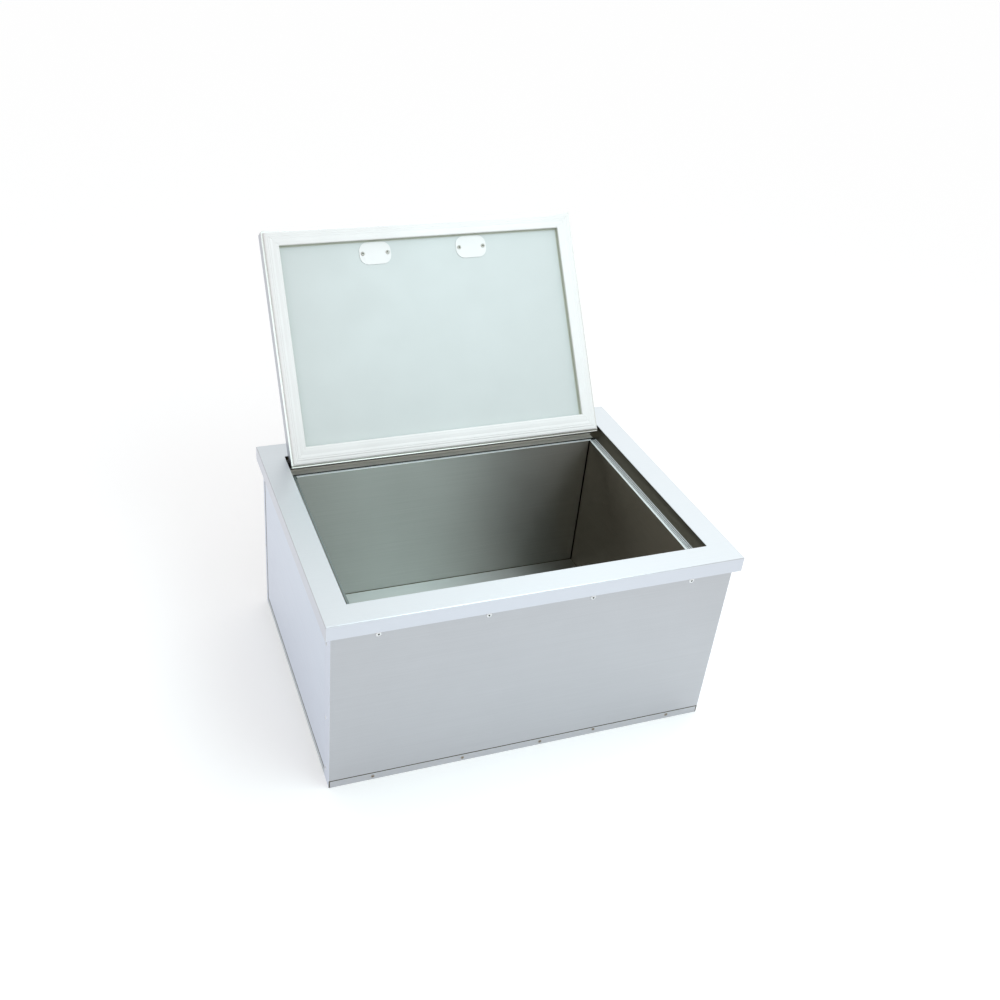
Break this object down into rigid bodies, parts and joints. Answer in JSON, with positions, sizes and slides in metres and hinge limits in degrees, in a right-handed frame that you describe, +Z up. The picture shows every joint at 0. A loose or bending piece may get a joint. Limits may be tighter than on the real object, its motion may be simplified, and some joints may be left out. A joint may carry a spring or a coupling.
{
  "type": "drop-in ice chest",
  "caption": "Insulated stainless box with a wide folded flange that hangs in a counter cut-out, a gasketed lid on two hinge pins, and a floor drain with a plug.",
  "frame": {"origin": "centre of the chest's flat underside, below the middle of the flange", "axes": "+Z up, +Y from the front to the hinge side, +X to the right seen from the front"},
  "size_m": [0.686, 0.7107, 0.6832],
  "materials": {
    "steel": "brushed stainless sheet",
    "tub_steel": "brushed stainless sheet, horizontal grain",
    "galvanised": "galvanised steel",
    "foam": "rigid polyurethane foam",
    "breaker": "ribbed grey PVC",
    "liner": "pale satin sheet",
    "gasket": "soft white vinyl",
    "hardware": "stainless",
    "nylon": "black nylon",
    "handle": "satin stainless",
    "cover": "white moulded plastic",
    "drain": "plated brass",
    "rubber": "black rubber"
  },
  "bodies": {
    "chest": {"top_frame": "steel", "front_panel": "steel", "back_panel": "steel", "side_panel_left": "steel", "side_panel_right": "steel", "bottom_pan": "steel", "tub_front_wall": "tub_steel", "tub_back_wall": "tub_steel", "tub_side_wall_left": "tub_steel", "tub_side_wall_right": "tub_steel", "tub_floor": "tub_steel", "front_rail": "galvanised", "back_rail": "galvanised", "hinge_doubler_left": "galvanised", "hinge_doubler_right": "galvanised", "foam_bottom": "foam", "foam_front": "foam", "foam_back": "foam", "foam_side_left": "foam", "foam_side_right": "foam", "strip_front": "breaker", "strip_back": "breaker", "strip_side_left": "breaker", "strip_side_right": "breaker", "hinge_pin_left": "hardware", "hinge_pin_right": "hardware", "front_rivets": "hardware", "back_rivets": "hardware", "front_base_rivets": "hardware", "back_base_rivets": "hardware", "side_rivets_left": "hardware", "side_rivets_right": "hardware", "drain_strainer": "hardware", "hinge_bush_left": "nylon", "hinge_bush_right": "nylon", "drain_body": "drain", "drain_nut": "drain", "drain_washer": "rubber"},
    "lid": {"lid_skin": "steel", "lid_liner": "liner", "lid_foam": "foam", "gasket_front": "gasket", "gasket_back": "gasket", "gasket_left": "gasket", "gasket_right": "gasket", "lid_hinge_plate_left": "galvanised", "lid_hinge_plate_right": "galvanised", "handle_bar": "handle", "handle_post_left": "handle", "handle_post_right": "handle", "handle_washers": "hardware", "handle_bolts": "hardware", "cover_plate_left": "cover", "cover_plate_right": "cover", "cover_screws": "hardware"},
    "plug": {"drain_plug": "rubber"}
  },
  "joints": [
    {"name": "lid_hinge", "type": "hinge", "parent": "chest", "child": "lid", "pos_m": [0, 0.1974, 0.3385], "axis": [1, 0, 0], "range_deg": [0, 124.38]},
    {"name": "plug_lift", "type": "slide", "parent": "chest", "child": "plug", "axis": [0, 0, 1], "range_m": [0, 0.06]}
  ]
}
